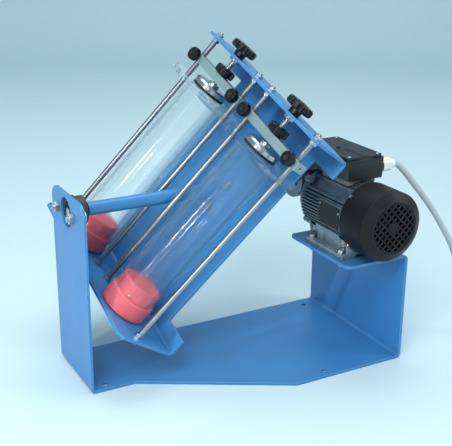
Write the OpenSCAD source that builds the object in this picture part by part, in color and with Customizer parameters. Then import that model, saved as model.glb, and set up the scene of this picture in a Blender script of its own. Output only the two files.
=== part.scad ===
/* [Base frame] */
// Length of the base over both uprights
base_l = 440; // [400:1:520]
// Thickness of the bent sheet of the base
sheet_t = 4; // [3:0.5:6]
// Inner radius of the sheet's bends
bend_r = 4; // [2:0.5:8]
// Distance from the turning axis to the straight back edge
back_y = 55; // [45:1:80]
// Depth of the narrow left end, front to back
left_w = 124; // [100:1:150]
// Depth of the wide right end, front to back
right_w = 233; // [210:1:260]
// Where the front edge starts to widen, from the left end
taper_start = 64; // [40:1:100]
// Where the front edge stops widening, from the left end
taper_end = 261; // [200:1:300]
// Height of the left upright
left_h = 268; // [262:1:320]
// Height of the motor shelf's top face
shelf_h = 163; // [150:1:175]
// Depth of the motor shelf, from the right end
shelf_d = 105; // [95:1:108]
// Width of the motor shelf, from the front edge
shelf_w = 148; // [135:1:160]
// Height of the right upright at its back edge
right_back_h = 96; // [60:1:120]
// Radius of the outer corners of the base sheet
corner_r = 20; // [8:1:24]
// Diameter of the bench bolt holes
bench_hole_d = 9; // [6:0.5:11]

/* [Turning axis] */
// Height of the turning axis above the bench
axis_h = 241; // [235:1:250]
// Outer diameter of the shaft tube
shaft_d = 19; // [17:0.5:22]
// Wall of the shaft tube
shaft_wall = 2.5; // [1.5:0.5:3]
// Diameter of the journal in the bearing and of the drive shaft
journal_d = 12; // [10:0.5:13]
// Bolt spacing of the oval bearing flange
bearing_bolts = 57; // [54:1:64]
// Thickness of the oval bearing flange
bearing_flange_t = 8; // [6:0.5:10]
// Length of the bearing housing along the axis
bearing_l = 20; // [18:1:22]
// Outer diameter of the bearing's outer ring
bearing_d = 30; // [28:1:32]
// Hole in the left upright round the bearing
bearing_hole_d = 42; // [40:1:44]

/* [Carrier] */
// Lean of the tubes away from square to the turning axis
carrier_tilt = 36; // [30:1:38]
// Turn of the carrier about the turning axis at rest
carrier_roll = 19.5; // [0:0.5:40]
// Where the plane of the rods crosses the axis, from the left end
carrier_x = 148; // [146:1:153]
// Sheet thickness of the carrier
plate_t = 4; // [3:0.5:5]
// Distance from the rods to the inner face of the back plate
plate_gap = 58.5; // [52:0.5:62]
// Length of the rods above the axis crossing, to the top flange
rod_up = 203; // [199:1:208]
// Length of the rods below the axis crossing, to the lower flange
rod_down = 147; // [140:1:150]
// Diameter of the stainless rods
rod_d = 8; // [7:0.5:9]
// Threaded ends of the guide rods
stud_d = 6; // [5:0.5:6]
// Distance of the outer rods from the middle
rod_outer = 138; // [134:1:141]
// Distance of the inner rods from the middle
rod_inner = 18; // [17:1:20]
// Half width of the crossbars at both ends
cross_half = 151.5; // [150:0.5:156]
// Half width of the back plate's main strip
strip_half = 106; // [60:1:116]
// Height of the crossbars
cross_h = 28; // [24:1:40]
// Reach of the top flange past the rods
top_reach = 11; // [10:1:24]
// Reach of the lower flange past the rods
low_reach = 41; // [37:1:48]
// Slant cut off the corners of the flanges
flange_cut = 8; // [4:1:12]

/* [Tubes] */
// Outer diameter of the glass tubes
tube_d = 66; // [58:1:68]
// Wall of the glass tubes
tube_wall = 3; // [2:0.5:4]
// Height of the stopper below the glass
stopper_h = 27; // [18:1:32]
// Depth of the stopper inside the glass
plug_h = 21; // [12:1:26]
// Lip of the stopper outside the glass
stopper_lip = 1; // [0.5:0.5:2]
// Radial squeeze room between the stopper and the glass
plug_gap = 0.3; // [0.1:0.1:0.5]
// Thickness of the clear guide plates
guide_t = 8; // [6:0.5:9]
// Half width of the clear guide plates
guide_half = 36; // [36:1:38]
// Depth of the seat for the glass in the guide plate
seat_h = 3; // [1:0.5:4]
// Diameter of the lid and of its seal
lid_d = 53; // [44:1:54]
// Thickness of the metal lid
lid_t = 9; // [6:0.5:10]
// Thickness of the black seal under the lid
seal_t = 3; // [2:0.5:4]
// Bore through the clear guide plate
guide_bore = 40; // [30:1:42]
// Distance of the guide plate's top face below the top flange
guide_drop = 62; // [60:0.5:65]

/* [Clamps] */
// Distance of the clamp bar's middle below the top flange
bar_drop = 37; // [35:0.5:38.5]
// Height of the clamp bars
bar_h = 12; // [10:0.5:13]
// Depth of the clamp bars
bar_w = 18; // [14:0.5:22]
// Diameter of the threaded spindles
spindle_d = 8; // [6:0.5:9]
// Diameter of the star knobs
star_d = 40; // [34:1:46]
// Height of the star knobs' heads
star_h = 11; // [8:0.5:14]
// Height of the star knobs' hubs
star_hub_h = 8; // [6:0.5:14]
// Diameter of the star knobs' hubs
star_hub_d = 18; // [14:0.5:22]
// Diameter of the lock knobs
lock_d = 30; // [24:1:32]
// Height of the lock knobs
lock_h = 12.5; // [9:0.5:13]
// Diameter of the thumb screws' heads
thumb_d = 20; // [16:1:24]
// Height of the thumb screws' heads
thumb_h = 9; // [7:0.5:12]
// Diameter of the thumb screws' threads
thumb_thread_d = 5; // [4:0.5:6]
// Travel of the clamp bars up the rods
bar_travel = 12; // [6:1:14]
// Travel of the spindles and lids
lid_travel = 2.5; // [1:0.5:3]

/* [Drive] */
// Distance of the motor's axis from the left end
motor_x = 387; // [384:1:390]
// Height of the motor's axis above the shelf
motor_rise = 57; // [54:1:60]
// Radius of the motor's core below the fins
core_r = 42; // [38:0.5:43]
// Height of the cooling fins
fin_h = 5; // [3:0.5:6]
// Number of cooling fins
fin_count = 32; // [20:1:40]
// Thickness of a cooling fin
fin_t = 2.4; // [1.5:0.1:3]
// Front end of the motor body, from the turning axis
motor_front = 50; // [47:1:54]
// Length of the finned body
motor_l = 104; // [96:1:108]
// Radius of the fan cover
cover_r = 49.5; // [49:0.5:54]
// Length of the fan cover's straight part
cover_l = 49; // [44:1:56]
// Depth of the slope at the fan cover's end
cover_bevel = 8; // [5:0.5:12]
// Radius of the fan cover's grille
grille_r = 36; // [30:0.5:40]
// Wall of the fan cover
cover_wall = 1.6; // [1.2:0.1:2.5]
// Spacing of the grille's wires
grille_pitch = 7.6; // [6:0.1:10]
// Width of the grille's wires
grille_wire = 2; // [1.5:0.1:3]
// Diameter of the motor shaft
motor_shaft_d = 11; // [9:0.5:12]
// Length of the gearbox along the turning axis
gear_l = 66; // [60:1:70]
// Radius of the round part of the gearbox
gear_r = 30; // [29:1:31]
// Wall of the gearbox
gear_wall = 5; // [4:0.5:6]
// Spacing of the foot bolts across the motor
foot_a = 77; // [74:1:78]
// Spacing of the foot bolts along the motor
foot_b = 71; // [66:1:74]
// Thickness of the foot's pads
foot_pad_t = 7; // [5:0.5:9]
// Width of the terminal box
box_w = 64; // [58:1:68]
// Length of the terminal box
box_l = 115; // [104:1:120]
// Height of the terminal box's lower shell
box_h = 23; // [20:1:26]
// Height of the terminal box's lid
box_lid_h = 10; // [8:1:14]
// Wall of the terminal box
box_wall = 2.5; // [2:0.5:3.5]

/* [Mains lead] */
// Diameter of the lead
cord_d = 9; // [8:0.5:9]

/* [Hidden] */
$fn = 64;
eps = 0.05;
fit_gap = 0.3;
running_gap = 0.05;
tube_r = tube_d / 2;
x0 = -base_l / 2;
x1 = base_l / 2;
front_left = back_y - left_w;
front_right = back_y - right_w;
out_r = bend_r + sheet_t;
ox = x0 + carrier_x;
mx = x0 + motor_x;
mz = shelf_h + motor_rise;
tube_mid = (rod_outer + rod_inner) / 2;
bench_hole_in = 25;
bench_hole_edge = 13;
front_hole_x = x0 + 315;
back_hole_x = x1 - 30;
shelf_y0 = front_right;
shelf_y1 = front_right + shelf_w;
tilt_s = sin(carrier_tilt);
tilt_c = cos(carrier_tilt);
hub_t = plate_gap * tan(carrier_tilt);
hub_x = ox + plate_gap / tilt_c;
guide_top = rod_up - guide_drop;
bar_mid = rod_up - bar_drop;
bar_bot = bar_mid - bar_h / 2;
bar_top = bar_mid + bar_h / 2;
lock_z = bar_top + fit_gap;
star_z = rod_up + plate_t + fit_gap;
pad_top = bar_bot - lid_travel - 0.5;

blue = "#3d7ab8";
steel = "#b9bdc0";
black = "#1f2326";
motor_grey = "#4a5e6a";
bar_green = "#7a9a9e";
red = "#d9626a";

// ---------- helpers ----------
module in_carrier() {
    translate([ox, 0, axis_h]) rotate([carrier_roll, 0, 0]) rotate([0, carrier_tilt, 0]) children();
}
module along_x(x) { translate([x, 0, axis_h]) rotate([0, 90, 0]) children(); }
module along_motor(y) { translate([mx, -y, mz]) rotate([90, 0, 0]) children(); }
module ring(ro, ri, h) {
    difference() {
        cylinder(r = ro, h = h);
        translate([0, 0, -eps]) cylinder(r = ri, h = h + 2 * eps);
    }
}
module hex_block(h, across, top = true, bottom = false) {
    r = across / 2 / cos(30);
    c = (r + 1 - across / 2) * 0.5;
    intersection() {
        cylinder(r = r, h = h, $fn = 6);
        rotate_extrude() polygon(concat([[0, 0]], bottom ? [[across / 2, 0], [r + 1, c]] : [[r + 1, 0]],
            top ? [[r + 1, h - c], [across / 2, h]] : [[r + 1, h]], [[0, h]]));
    }
}
module hex_nut(d, h, across) {
    difference() {
        hex_block(h, across, true, true);
        translate([0, 0, -eps]) cylinder(d = d, h = h + 2 * eps, $fn = 32);
    }
}
module rounded_rect(w, h, r) {
    for (sx = [-1, 1], sy = [-1, 1]) translate([sx * (w / 2 - r), sy * (h / 2 - r)]) circle(r = r);
    square([w - 2 * r, h], center = true);
    square([w, h - 2 * r], center = true);
}
module sides() { for (s = [1, -1]) translate([0, s * tube_mid, 0]) children(); }

// ---------- base ----------
// Side outline of the bent sheet: left upright, base, right upright and motor shelf
module bent_profile() {
    difference() {
        union() {
            translate([x0 + out_r, 0]) square([base_l - 2 * out_r, sheet_t]);
            translate([x0, out_r]) square([sheet_t, left_h - out_r]);
            translate([x1 - sheet_t, out_r]) square([sheet_t, shelf_h - 2 * out_r]);
            translate([x1 - shelf_d, shelf_h - sheet_t]) square([shelf_d - out_r, sheet_t]);
            for (c = [[x0 + out_r, out_r, 180], [x1 - out_r, out_r, 270], [x1 - out_r, shelf_h - out_r, 0]])
                translate([c[0], c[1]]) rotate(c[2]) intersection() {
                    difference() { circle(r = out_r); circle(r = bend_r); }
                    square(out_r + 1);
                }
        }
    }
}
// Plan view of the base plate
module base_outline() {
    difference() {
        polygon([[x0 - 1, back_y], [x1 + 1, back_y], [x1 + 1, front_right], [x0 + taper_end, front_right],
            [x0 + taper_start, front_left], [x0 - 1, front_left]]);
    }
}
// Material that a rounded corner takes off, drawn in the sheet's own plane
module corner_off(r) {
    difference() { translate([0, 0]) square(r + 1); circle(r = r); }
}
module base_frame() {
    color(blue) difference() {
        intersection() {
            translate([0, back_y, 0]) rotate([90, 0, 0]) linear_extrude(right_w) bent_profile();
            translate([0, 0, -1]) linear_extrude(left_h + 2) base_outline();
        }
        // rounded top of the left upright
        for (s = [1, -1]) translate([x0 - 1, s > 0 ? back_y - corner_r : front_left + corner_r, left_h - corner_r])
            rotate([90, 0, 90]) linear_extrude(sheet_t + 2) scale([s, 1]) corner_off(corner_r);
        // low back half of the right upright, and the shelf that stops there
        translate([x1 - shelf_d - 1, 0, 0]) rotate([90, 0, 90]) linear_extrude(shelf_d + 2)
            polygon([[shelf_y1, shelf_h + 1], [shelf_y1, shelf_h - out_r - 4], [back_y + 1, right_back_h],
                [back_y + 1, shelf_h + 1]]);
        // rounded corners of the shelf
        for (s = [1, -1]) translate([x1 - shelf_d + corner_r / 2, s > 0 ? shelf_y1 - corner_r / 2 : shelf_y0
            + corner_r / 2, shelf_h - sheet_t - 1]) linear_extrude(sheet_t + 2)
            scale([-1, s]) corner_off(corner_r / 2);
        // window for the bearing and its bolts
        translate([x0 - 1, 0, axis_h]) rotate([0, 90, 0]) {
            cylinder(d = bearing_hole_d, h = sheet_t + 2);
            for (s = [1, -1]) translate([0, s * bearing_bolts / 2, 0])
                cylinder(d = bearing_bolt_d + 2 * fit_gap, h = sheet_t + 2);
        }
        for (p = bench_holes) translate([p[0], p[1], -1]) cylinder(d = bench_hole_d, h = sheet_t + 2);
        foot_places() translate([0, 0, -sheet_t - 1]) cylinder(d = foot_bolt_d + 2 * fit_gap, h = sheet_t + 2);
    }
}
bench_holes = [[x0 + bench_hole_in, front_left + bench_hole_edge],
    [x0 + bench_hole_in, back_y - bench_hole_edge],
    [front_hole_x, front_right + bench_hole_edge],
    [back_hole_x, back_y - bench_hole_edge - 6]];

// ---------- left bearing ----------
bearing_bolt_d = 8;
bearing_bore = journal_d;
ball_d = (bearing_d - bearing_bore) / 2 - 4.5;
ball_pitch = (bearing_d + bearing_bore) / 4 + 0.5;
race_w = 12;
bearing_x = x0 + sheet_t;
race_x = bearing_x + bearing_l / 2 - race_w / 2 - 1;
housing_r = bearing_d / 2 + 5;
module oval(r_mid, r_end, half) {
    hull() {
        circle(r = r_mid);
        for (s = [1, -1]) translate([0, s * half]) circle(r = r_end, $fn = 32);
    }
}
module bearing_housing() {
    color("#7c8488") difference() {
        union() {
            along_x(bearing_x) linear_extrude(bearing_flange_t)
                oval(housing_r + 2, bearing_bolt_d, bearing_bolts / 2);
            along_x(bearing_x) cylinder(r = housing_r, h = bearing_l);
            along_x(bearing_x + bearing_l) cylinder(r1 = housing_r, r2 = housing_r - 2, h = 2);
        }
        along_x(bearing_x - 1) cylinder(d = bearing_d, h = bearing_l + 5);
        along_x(bearing_x - 1) for (s = [1, -1]) translate([0, s * bearing_bolts / 2, 0])
            cylinder(d = bearing_bolt_d + 2 * fit_gap, h = bearing_flange_t + 3);
    }
}
module race_groove() {
    rotate_extrude() translate([ball_pitch, 0]) circle(d = ball_d + 0.1, $fn = 32);
}
module bearing_outer_ring() {
    color(steel) along_x(race_x) difference() {
        ring(bearing_d / 2, ball_pitch + ball_d * 0.28, race_w);
        translate([0, 0, race_w / 2]) race_groove();
    }
}
module bearing_inner_ring() {
    color(steel) along_x(race_x) difference() {
        ring(ball_pitch - ball_d * 0.28, bearing_bore / 2, race_w);
        translate([0, 0, race_w / 2]) race_groove();
    }
}
module bearing_balls() {
    color("#dfe3e6") along_x(race_x + race_w / 2) for (a = [0:45:315]) rotate(a)
        translate([ball_pitch, 0, 0]) sphere(d = ball_d, $fn = 24);
}
bolt_len = sheet_t + bearing_flange_t;
module bearing_bolts() {
    color(steel) along_x(bearing_x) for (s = [1, -1]) translate([0, s * bearing_bolts / 2, 0]) {
        translate([0, 0, -sheet_t - 9]) cylinder(d = bearing_bolt_d, h = bolt_len + 9 + eps);
        translate([0, 0, bearing_flange_t]) hex_block(5, 13);
        translate([0, 0, -sheet_t - 6.5]) hex_block(6.5, 13);
    }
}

// ---------- shaft ----------
journal_x0 = race_x;
collar_x0 = bearing_x + bearing_l + 2 + fit_gap;
collar_l = 4;
tube_x0 = collar_x0 + collar_l;
block_l = 4 * base_l;
// The side of the back plate that faces the bearing, as a tilted block
module before_plate(gap = 0) {
    in_carrier() translate([plate_gap - gap - block_l, -block_l / 2, -block_l / 2]) cube(block_l);
}
module behind_plate() {
    in_carrier() translate([plate_gap + plate_t, -block_l / 2, -block_l / 2]) cube(block_l);
}
module shaft_tube() {
    color(blue) intersection() {
        difference() {
            along_x(tube_x0) cylinder(d = shaft_d, h = 400);
            along_x(tube_x0 - 1) cylinder(d = shaft_d - 2 * shaft_wall, h = 500);
        }
        before_plate();
    }
}
module shaft_collar() {
    color(black) along_x(collar_x0) ring(shaft_d / 2, journal_d / 2, collar_l);
}
module journal() {
    color(steel) {
        along_x(journal_x0 - 4) cylinder(d = journal_d, h = tube_x0 - journal_x0 + 4 + 24);
        along_x(tube_x0) cylinder(d = shaft_d - 2 * shaft_wall, h = 24);
    }
}

// ---------- carrier ----------
carrier_out = bend_r + plate_t;
// Side outline of the carrier sheet: lower flange, back plate and top flange
module carrier_profile() {
    nb = plate_gap + plate_t;
    lo = -rod_down - plate_t;
    hi = rod_up + plate_t;
    translate([-low_reach, lo]) square([low_reach + nb - carrier_out, plate_t]);
    translate([-top_reach, hi - plate_t]) square([top_reach + nb - carrier_out, plate_t]);
    translate([plate_gap, lo + carrier_out]) square([plate_t, hi - lo - 2 * carrier_out]);
    for (c = [[lo + carrier_out, 270], [hi - carrier_out, 0]])
        translate([nb - carrier_out, c[0]]) rotate(c[1]) intersection() {
            difference() { circle(r = carrier_out); circle(r = bend_r); }
            square(carrier_out + 1);
        }
}
module flange_corner(reach, cut) {
    polygon([[-reach - 1, cross_half - cut - 1], [-reach - 1, cross_half + 1], [-reach + cut + 1, cross_half + 1]]);
}
module carrier_frame() {
    color(blue) in_carrier() difference() {
        translate([0, cross_half, 0]) rotate([90, 0, 0]) linear_extrude(2 * cross_half) carrier_profile();
        // the strip between the crossbars is narrower
        for (s = [1, -1]) translate([plate_gap - 1, s > 0 ? strip_half : -cross_half - 1,
            -rod_down - plate_t + cross_h])
            cube([plate_t + 2, cross_half - strip_half + 1, rod_up + rod_down + 2 * plate_t - 2 * cross_h]);
        for (s = [1, -1]) scale([1, s, 1]) {
            translate([0, 0, -rod_down - plate_t - 1]) linear_extrude(plate_t + 2)
                flange_corner(low_reach, flange_cut);
            translate([0, 0, rod_up - 1]) linear_extrude(plate_t + 2) flange_corner(top_reach, flange_cut / 2);
        }
        for (y = rod_ys) translate([0, y, -rod_down - plate_t - 1])
            cylinder(d = stud_d + 2 * fit_gap, h = rod_up + rod_down + 2 * plate_t + 2);
        sides() translate([0, 0, rod_up - 1]) cylinder(d = bush_d, h = plate_t + 2);
        translate([plate_gap - 1, 0, hub_t]) rotate([0, 90, 0])
            for (a = [45:90:315]) rotate(a) translate([hub_bolt_r, 0, 0])
                cylinder(d = hub_screw_d + 2 * fit_gap, h = plate_t + 2);
    }
}
rod_ys = [rod_outer, rod_inner, -rod_inner, -rod_outer];
hub_bolt_r = 28;
hub_screw_d = 6;
hub_flange_t = 6;
hub_d = 30;
// Drive hub: a round flange on the back plate, with a socket cut square to the turning axis
drive_x1 = mx - gear_l / 2 - 2;
module drive_hub() {
    color("#8f979c") {
        in_carrier() translate([plate_gap + plate_t, 0, hub_t]) rotate([0, 90, 0]) difference() {
            cylinder(d = 2 * hub_bolt_r + 16, h = hub_flange_t);
            for (a = [45:90:315]) rotate(a) translate([hub_bolt_r, 0, -1])
                cylinder(d = hub_screw_d + 2 * fit_gap, h = hub_flange_t + 2);
        }
        intersection() {
            along_x(hub_x - 40) cylinder(d = hub_d, h = 40 + 44);
            behind_plate();
        }
        along_x(hub_x + 44 - eps) cylinder(d = 2 * hub_shaft_r, h = gear_x1 + 6 - (hub_x + 44 - eps));
    }
}
hub_shaft_r = 7;
module hub_screws() {
    color(steel) in_carrier() translate([plate_gap, 0, hub_t]) rotate([0, 90, 0])
        for (a = [45:90:315]) rotate(a) translate([hub_bolt_r, 0, 0]) {
            translate([0, 0, -4]) cylinder(d = 10, h = 4);
            cylinder(d = hub_screw_d, h = plate_t + hub_flange_t + 6);
            translate([0, 0, plate_t + hub_flange_t]) hex_block(5, 10);
        }
}
nut_h = 5;
nut_across = 10;
stud_out = 3;
module guide_rods() {
    color("#c8ccce") in_carrier() for (y = rod_ys) {
        translate([0, y, -rod_down - plate_t - nut_h - stud_out])
            cylinder(d = stud_d, h = rod_up + rod_down + 2 * (plate_t + nut_h + stud_out));
        translate([0, y, -rod_down + nut_h]) cylinder(d = rod_d, h = rod_up + rod_down - 2 * nut_h);
    }
}
module rod_nuts() {
    color(steel) in_carrier() for (y = rod_ys) translate([0, y, 0])
        for (z = [-rod_down - plate_t - nut_h, -rod_down, rod_up - nut_h, rod_up + plate_t])
            translate([0, 0, z]) hex_nut(stud_d, nut_h, nut_across);
}
bush_d = spindle_d + 6;
bush_low = rod_up - (lock_z + lock_h + bar_travel) - 1.7;
module spindle_bushes() {
    color(steel) in_carrier() sides() translate([0, 0, rod_up]) difference() {
        union() {
            translate([0, 0, -bush_low]) cylinder(d = bush_d + 3, h = bush_low);
            translate([0, 0, -eps]) cylinder(d = bush_d, h = plate_t + eps);
        }
        translate([0, 0, -bush_low - 1]) cylinder(d = spindle_d + 2 * running_gap, h = plate_t + bush_low + 2);
    }
}

// ---------- tubes ----------
glass_z0 = -rod_down + stopper_h;
glass_z1 = guide_top - guide_t + seat_h;
bore_r = tube_r - tube_wall;
plug_r = bore_r - plug_gap;
module glass_tube(s) {
    color("#d8e6ea", 0.45) in_carrier() translate([0, s * tube_mid, glass_z0])
        ring(tube_r, bore_r, glass_z1 - glass_z0);
}
module stopper(s) {
    r = tube_r + stopper_lip;
    color(red) in_carrier() translate([0, s * tube_mid, -rod_down]) rotate_extrude()
        polygon([[0, 0], [r - 3, 0], [r - 1, 1], [r, 3], [r, stopper_h - 1.5], [r - 1, stopper_h],
            [plug_r, stopper_h], [plug_r, stopper_h + plug_h - 2], [plug_r - 2, stopper_h + plug_h],
            [0, stopper_h + plug_h]]);
}
bar_end = cross_half;
bar_start = rod_inner - 10;
bar_len = bar_end - bar_start;
bar_mid_y = (bar_end + bar_start) / 2;
guide_end = rod_outer + 9;
guide_round = 20;
module guide_plate(s) {
    color("#e6f0f2", 0.5) in_carrier() translate([0, 0, guide_top - guide_t]) difference() {
        translate([0, s * (guide_end + bar_start) / 2, 0]) linear_extrude(guide_t)
            rounded_rect(2 * guide_half, guide_end - bar_start, guide_round);
        translate([0, s * tube_mid, -eps]) cylinder(r = tube_r + fit_gap, h = seat_h + eps);
        translate([0, s * tube_mid, -1]) cylinder(d = guide_bore, h = guide_t + 2);
        for (y = [rod_inner, rod_outer]) translate([0, s * y, -1]) cylinder(d = rod_d + 2 * fit_gap, h = guide_t + 2);
    }
}
module lid_seal(s) {
    color(black) in_carrier() translate([0, s * tube_mid, guide_top]) ring(lid_d / 2, guide_bore / 2 + 2, seal_t);
}
lid_z = guide_top + seal_t;
pad_h = pad_top - lid_z - lid_t;
module lid(s) {
    color("#d5d9db") in_carrier() translate([0, s * tube_mid, lid_z]) rotate_extrude()
        polygon([[0, 0], [lid_d / 2 - 0.6, 0], [lid_d / 2, 0.6], [lid_d / 2, lid_t - 2.5],
            [lid_d / 2 - 2.5, lid_t], [spindle_d + 1, lid_t], [spindle_d, lid_t + pad_h], [0, lid_t + pad_h]]);
}

// ---------- clamps ----------
module clamp_bar(s) {
    color(bar_green) in_carrier() difference() {
        translate([-bar_w / 2, s > 0 ? bar_start : -bar_end, bar_bot]) cube([bar_w, bar_len, bar_h]);
        for (y = [rod_inner, rod_outer]) translate([0, s * y, 0]) {
            translate([0, 0, bar_bot - 1]) cylinder(d = rod_d + 2 * running_gap, h = bar_h + 2);
            translate([-bar_w / 2 - 1, 0, bar_mid]) rotate([0, 90, 0])
                cylinder(d = thumb_thread_d + 2 * running_gap, h = bar_w / 2 + 1);
        }
        translate([0, s * tube_mid, bar_bot - 1]) cylinder(d = spindle_d + 2 * fit_gap, h = bar_h + 2);
        translate([0, s * (bar_end - 8), bar_mid]) rotate([-s * 90, 0, 0]) cylinder(d = 4, h = 9);
    }
}
// Lobed knob: a turned body with rounded rims and finger scallops cut down its side
module lobed_knob(d, h, n, deep, edge) {
    scoop = d * 0.13;
    difference() {
        rotate_extrude() polygon([[0, 0], [d / 2 - edge, 0], [d / 2 - edge * 0.3, edge * 0.3], [d / 2, edge],
            [d / 2, h - edge], [d / 2 - edge * 0.3, h - edge * 0.3], [d / 2 - edge, h], [0, h]]);
        for (i = [0:n - 1]) rotate(360 / n * (i + 0.5)) translate([d / 2 + scoop - deep, 0, -1])
            cylinder(r = scoop, h = h + 2);
    }
}
module lock_knob(s) {
    color(black) in_carrier() translate([0, s * tube_mid, lock_z]) difference() {
        union() {
            cylinder(d = lock_d * 0.56, h = 1.6);
            translate([0, 0, 1.5]) lobed_knob(lock_d, lock_h - 1.5, 6, lock_d * 0.09, 2);
        }
        translate([0, 0, -1]) cylinder(d = spindle_d + 2 * running_gap, h = lock_h + 2);
    }
}
thumb_hub_h = 1.6;
thumb_tip = rod_d / 2 + fit_gap;
// A thumb screw through the bar's face onto a rod
module thumb_screw(y) {
    color(black) in_carrier() translate([-bar_w / 2 - fit_gap, y, bar_mid]) rotate([0, -90, 0]) {
        cylinder(d = thumb_d * 0.55, h = thumb_hub_h);
        translate([0, 0, thumb_hub_h - eps]) lobed_knob(thumb_d, thumb_h, 5, thumb_d * 0.07, 1.6);
    }
    color(steel) in_carrier() translate([-bar_w / 2 - fit_gap + eps, y, bar_mid]) rotate([0, 90, 0])
        cylinder(d = thumb_thread_d, h = bar_w / 2 + fit_gap - thumb_tip - eps);
}
spindle_z0 = pad_top + fit_gap;
module spindle(s) {
    color(steel) in_carrier() translate([0, s * tube_mid, spindle_z0])
        cylinder(d = spindle_d, h = star_z + star_hub_h + star_h - 3 - spindle_z0);
}
module star_knob(s) {
    color(black) in_carrier() translate([0, s * tube_mid, star_z]) difference() {
        union() {
            cylinder(d1 = star_hub_d - 2, d2 = star_hub_d, h = star_hub_h);
            translate([0, 0, star_hub_h - eps]) lobed_knob(star_d, star_h, 7, star_d * 0.1, 3);
        }
        translate([0, 0, -1]) cylinder(d = spindle_d, h = star_hub_h + star_h - 2);
    }
}

// ---------- gearbox ----------
gear_x0 = mx - gear_l / 2;
gear_x1 = mx + gear_l / 2;
gear_centre = axis_h - mz;
worm_r = 6;
wheel_r = gear_centre - worm_r - fit_gap;
worm_half = 26;
worm_box_r = 17;
seat_r = 38;
flange_t2 = 6;
cover_plate_t = 5;
module gear_shell(d) {
    along_x(gear_x0 + d) cylinder(r = gear_r - d, h = gear_l - 2 * d);
    along_motor(-worm_half - 6 + d) cylinder(r = worm_box_r - d, h = worm_half + 6 + shield_y - flange_t2 - d + eps);
}
module gearbox_housing() {
    color(motor_grey) difference() {
        union() {
            gear_shell(0);
            // boss that carries the output bore
            along_x(gear_x0 - 2) cylinder(r = hub_shaft_r + 9, h = 4);
            // face that the motor bolts to
            along_motor(shield_y - flange_t2) cylinder(r = seat_r, h = flange_t2);
            for (z = [-16, 0, 16]) translate([gear_x0 + 8, -gear_r + 2, axis_h + z - 1.2])
                cube([gear_l - 20, 2 * gear_r - 4 - abs(z) * 0.6, 2.4]);
        }
        along_x(gear_x0 + gear_wall) cylinder(r = gear_r - gear_wall, h = gear_l);
        along_motor(-worm_half - 1) cylinder(r = worm_r + 1.5, h = worm_half + 1 + shield_y + 1);
        along_x(gear_x0 - 5) cylinder(r = hub_shaft_r + running_gap, h = gear_wall + 10);
        along_x(gear_x1 - cover_plate_t) cylinder(r = gear_r + 1, h = cover_plate_t + 1);
    }
}
cover_screw_r = gear_r - 5.5;
module gearbox_cover() {
    color(motor_grey) along_x(gear_x1 - cover_plate_t) difference() {
        union() {
            cylinder(r = gear_r - 1, h = cover_plate_t);
            cylinder(r = gear_r * 0.55, h = cover_plate_t + 2);
        }
        translate([0, 0, -1]) cylinder(r = hub_shaft_r + running_gap, h = cover_plate_t + 4);
    }
}
module gearbox_screws() {
    color(steel) along_x(gear_x1) for (a = [0:60:300]) rotate(a) translate([cover_screw_r + 1.5, 0, 0])
        cylinder(d = 5, h = 3, $fn = 6);
}
wheel_w = 14;
wheel_teeth = 30;
module worm_wheel() {
    color("#b98d4a") along_x(mx - wheel_w / 2) difference() {
        linear_extrude(wheel_w) difference() {
            circle(r = wheel_r);
            for (i = [0:wheel_teeth - 1]) rotate(360 / wheel_teeth * i) translate([wheel_r, 0])
                square([2.4, PI * wheel_r / wheel_teeth], center = true);
        }
        translate([0, 0, -1]) cylinder(r = hub_shaft_r + eps, h = wheel_w + 2);
    }
}
worm_thread = 0.9;
// Motor shaft with the worm at its inner end and the fan seat at its outer end
module worm_shaft() {
    color(steel) {
        along_motor(-worm_half) cylinder(d = 2 * (worm_r - worm_thread), h = worm_half + shield_y + 3);
        along_motor(-12) for (i = [0:7]) translate([0, 0, 3 * i]) rotate_extrude()
            polygon([[0, -1.1], [worm_r - worm_thread, -1.1], [worm_r, -0.5], [worm_r, 0.5],
                [worm_r - worm_thread, 1.1], [0, 1.1]]);
        along_motor(shield_y + 3 - eps) cylinder(d = motor_shaft_d, h = fan_y + 10 - shield_y - 3);
    }
}

// ---------- motor ----------
shield_y = motor_front - 10;
body_end = motor_front + motor_l;
fan_y = body_end + 8;
tie_r = core_r + 1.5;
module motor_shield() {
    color(motor_grey) difference() {
        union() {
            along_motor(shield_y) cylinder(r1 = seat_r, r2 = core_r + 1, h = 8);
            along_motor(shield_y + 8 - eps) cylinder(r = core_r + 2.5, h = 2 + eps);
            for (a = [45:90:315]) along_motor(shield_y + 1) rotate(a) translate([tie_r, 0, 0]) cylinder(r = 5, h = 9);
        }
        along_motor(shield_y - 1) cylinder(d = motor_shaft_d + 2 * running_gap, h = 20);
    }
}
fin_gap_angle = 360 / fin_count;
// The fins stand straight out to the sides and straight up and down, as on a die-cast body
module fin_outline() {
    circle(r = core_r);
    n = floor(core_r * 0.68 / (2 * fin_t));
    intersection() {
        circle(r = core_r + fin_h);
        for (q = [0:90:270]) rotate(q) for (i = [-n:n]) translate([core_r * 0.55, i * 2 * fin_t - fin_t / 2])
            square([core_r, fin_t]);
    }
}
module motor_body() {
    color(motor_grey) along_motor(motor_front) difference() {
        union() {
            linear_extrude(motor_l) fin_outline();
            cylinder(r = core_r + 3, h = 5);
            translate([0, 0, motor_l - 5]) cylinder(r = core_r + 3, h = 5);
            for (a = [45:90:315]) rotate(a) translate([tie_r, 0, 0]) cylinder(r = 5, h = 12);
        }
        translate([0, 0, -1]) cylinder(r = core_r - 4, h = motor_l - 5);
        cylinder(d = motor_shaft_d + 2 * running_gap, h = motor_l + 2);
    }
}
stator_z = 22;
stator_l = 52;
rotor_r = 22;
module stator() {
    color("#9a7b52") along_motor(motor_front + stator_z) ring(core_r - 4 - running_gap, rotor_r + 1, stator_l);
}
module rotor_core() {
    color("#70767a") along_motor(motor_front + stator_z) ring(rotor_r, motor_shaft_d / 2, stator_l);
}
foot_bolt_d = 6;
foot_y0 = 73;
foot_inner = 11;
foot_margin = 10;
foot_hollow_w = 48;
foot_wall = 12;
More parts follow.
